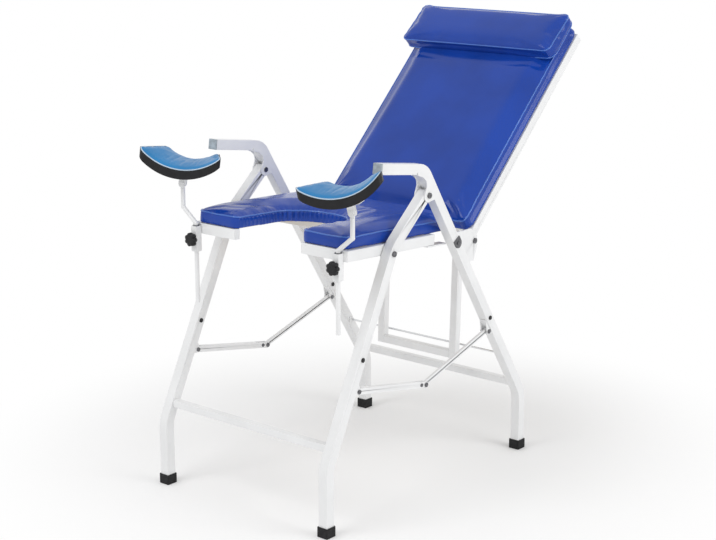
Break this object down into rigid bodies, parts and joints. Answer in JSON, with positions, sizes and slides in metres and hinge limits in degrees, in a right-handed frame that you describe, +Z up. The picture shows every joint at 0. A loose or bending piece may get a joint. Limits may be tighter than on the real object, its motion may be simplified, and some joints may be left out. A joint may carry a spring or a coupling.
{
  "type": "folding examination bed",
  "caption": "Folding examination bed with a notched seat, reclining back with head pillow, and two adjustable leg-support pads on a white tube frame.",
  "frame": {"origin": "on the floor, under the middle of the bed's bounding box", "axes": "+X to the patient's left, which is the right as seen from the foot end, +Y from the foot end to the head end, +Z up"},
  "size_m": [0.7941, 1.181, 1.2336],
  "materials": {
    "white_frame": "smooth white powder coat, semi-gloss",
    "steel_bolts": "darkened zinc-plated steel",
    "bright_rod": "bright plated round bar",
    "bush_plastic": "plain moulded plastic bush",
    "arm_cap_grey": "grey moulded plastic",
    "foot_rubber": "matt black rubber",
    "plug_black": "matt black plastic",
    "knob_black": "black moulded plastic",
    "shell_black": "black moulded plastic",
    "board_plywood": "bare plywood",
    "bed_cushion": "royal blue coated upholstery cloth over foam, glossy",
    "pad_cushion": "blue coated upholstery cloth over foam, glossy"
  },
  "bodies": {
    "rear_frame": {"rear_leg_left": "white_frame", "rear_leg_right": "white_frame", "rear_crossbar": "white_frame", "rack_rod": "bright_rod", "rack_tabs": "white_frame", "apex_brackets": "white_frame", "apex_bolts": "steel_bolts", "arm_caps": "arm_cap_grey", "rear_feet": "foot_rubber", "rear_plugs": "plug_black", "back_brackets": "white_frame", "bracket_bolts": "steel_bolts", "back_pivot_bolts": "steel_bolts", "seat_rests": "white_frame", "rear_stay_brackets": "white_frame", "rear_stay_bolts": "steel_bolts"},
    "front_frame": {"front_leg_left": "white_frame", "front_leg_right": "white_frame", "front_crossbar": "white_frame", "front_feet": "foot_rubber", "front_plugs": "plug_black", "front_stay_brackets": "white_frame", "front_stay_bolts": "steel_bolts", "seat_pivot_bolts": "steel_bolts"},
    "front_link_left": {"front_stay_left": "white_frame", "mid_bolts_left": "steel_bolts"},
    "front_link_right": {"front_stay_right": "white_frame", "mid_bolts_right": "steel_bolts"},
    "rear_link_left": {"rear_stay_left": "white_frame"},
    "rear_link_right": {"rear_stay_right": "white_frame"},
    "seat": {"seat_rail_left": "white_frame", "seat_rail_right": "white_frame", "seat_front_bars": "white_frame", "seat_cross_bars": "white_frame", "seat_board": "board_plywood", "seat_cushion": "bed_cushion", "rod_sockets": "white_frame"},
    "back": {"back_tube_left": "white_frame", "back_tube_right": "white_frame", "back_cross_bars": "white_frame", "prop_hinge": "white_frame", "back_board": "board_plywood", "back_cushion": "bed_cushion", "head_pillow": "bed_cushion"},
    "prop": {"prop_leg_left": "white_frame", "prop_leg_right": "white_frame", "prop_foot_bar": "white_frame", "prop_racks": "white_frame"},
    "bush_left": {"socket_bush_left": "bush_plastic"},
    "rod_left": {"support_rod_left": "white_frame"},
    "pad_left": {"pad_bracket_left": "white_frame", "pad_shell_left": "shell_black", "pad_cushion_left": "pad_cushion"},
    "knob_left": {"clamp_knob_left": "knob_black"},
    "bush_right": {"socket_bush_right": "bush_plastic"},
    "rod_right": {"support_rod_right": "white_frame"},
    "pad_right": {"pad_bracket_right": "white_frame", "pad_shell_right": "shell_black", "pad_cushion_right": "pad_cushion"},
    "knob_right": {"clamp_knob_right": "knob_black"}
  },
  "joints": [
    {"name": "fold", "type": "hinge", "parent": "rear_frame", "child": "front_frame", "pos_m": [0, -0.18515, 0.82], "axis": [1, 0, 0], "range_deg": [0, 45]},
    {"name": "seat_fold", "type": "hinge", "parent": "front_frame", "child": "seat", "pos_m": [0, -0.32479, 0.69], "axis": [1, 0, 0], "range_deg": [0, 29]},
    {"name": "recline", "type": "hinge", "parent": "rear_frame", "child": "back", "pos_m": [0, 0.06147, 0.653], "axis": [1, 0, 0], "range_deg": [-44, 20]},
    {"name": "prop_swing", "type": "hinge", "parent": "back", "child": "prop", "pos_m": [0, 0.18383, 0.73679], "axis": [1, 0, 0], "range_deg": [-18, 38]},
    {"name": "front_link_left", "type": "hinge", "parent": "front_frame", "child": "front_link_left", "pos_m": [-0.288, -0.45847, 0.3566], "axis": [1, 0, 0], "range_deg": [-78, 0]},
    {"name": "rear_link_left", "type": "hinge", "parent": "rear_frame", "child": "rear_link_left", "pos_m": [-0.288, 0.10201, 0.39102], "axis": [1, 0, 0], "range_deg": [0, 84]},
    {"name": "front_link_right", "type": "hinge", "parent": "front_frame", "child": "front_link_right", "pos_m": [0.288, -0.45847, 0.3566], "axis": [1, 0, 0], "range_deg": [-78, 0]},
    {"name": "rear_link_right", "type": "hinge", "parent": "rear_frame", "child": "rear_link_right", "pos_m": [0.288, 0.10201, 0.39102], "axis": [1, 0, 0], "range_deg": [0, 84]},
    {"name": "swivel_left", "type": "hinge", "parent": "seat", "child": "bush_left", "pos_m": [-0.25, -0.48095, 0.67736], "axis": [0, 0, 1], "range_deg": [-3, 60]},
    {"name": "height_left", "type": "slide", "parent": "bush_left", "child": "rod_left", "axis": [0, 0, 1], "range_m": [0, 0.12]},
    {"name": "tilt_left", "type": "hinge", "parent": "rod_left", "child": "pad_left", "pos_m": [-0.297, -0.48095, 0.82036], "axis": [-0.5, 0.866, 0], "range_deg": [-20, 20]},
    {"name": "knob_turn_left", "type": "hinge", "parent": "seat", "child": "knob_left", "pos_m": [-0.25, -0.49, 0.67736], "axis": [0, 1, 0], "continuous": true},
    {"name": "swivel_right", "type": "hinge", "parent": "seat", "child": "bush_right", "pos_m": [0.25, -0.48095, 0.67736], "axis": [0, 0, 1], "range_deg": [-60, 3]},
    {"name": "height_right", "type": "slide", "parent": "bush_right", "child": "rod_right", "axis": [0, 0, 1], "range_m": [0, 0.12]},
    {"name": "tilt_right", "type": "hinge", "parent": "rod_right", "child": "pad_right", "pos_m": [0.297, -0.48095, 0.82036], "axis": [-0.4067, 0.9135, 0], "range_deg": [-20, 20]},
    {"name": "knob_turn_right", "type": "hinge", "parent": "seat", "child": "knob_right", "pos_m": [0.25, -0.49, 0.67736], "axis": [0, 1, 0], "continuous": true}
  ],
  "couplings": [
    {"joint": "seat_fold", "follows": "fold", "ratio": 0.64},
    {"joint": "front_link_left", "follows": "fold", "ratio": -1.7263},
    {"joint": "rear_link_left", "follows": "fold", "ratio": 1.8645},
    {"joint": "front_link_right", "follows": "fold", "ratio": -1.7263},
    {"joint": "rear_link_right", "follows": "fold", "ratio": 1.8645},
    {"joint": "prop_swing", "follows": "recline", "ratio": -0.85}
  ]
}
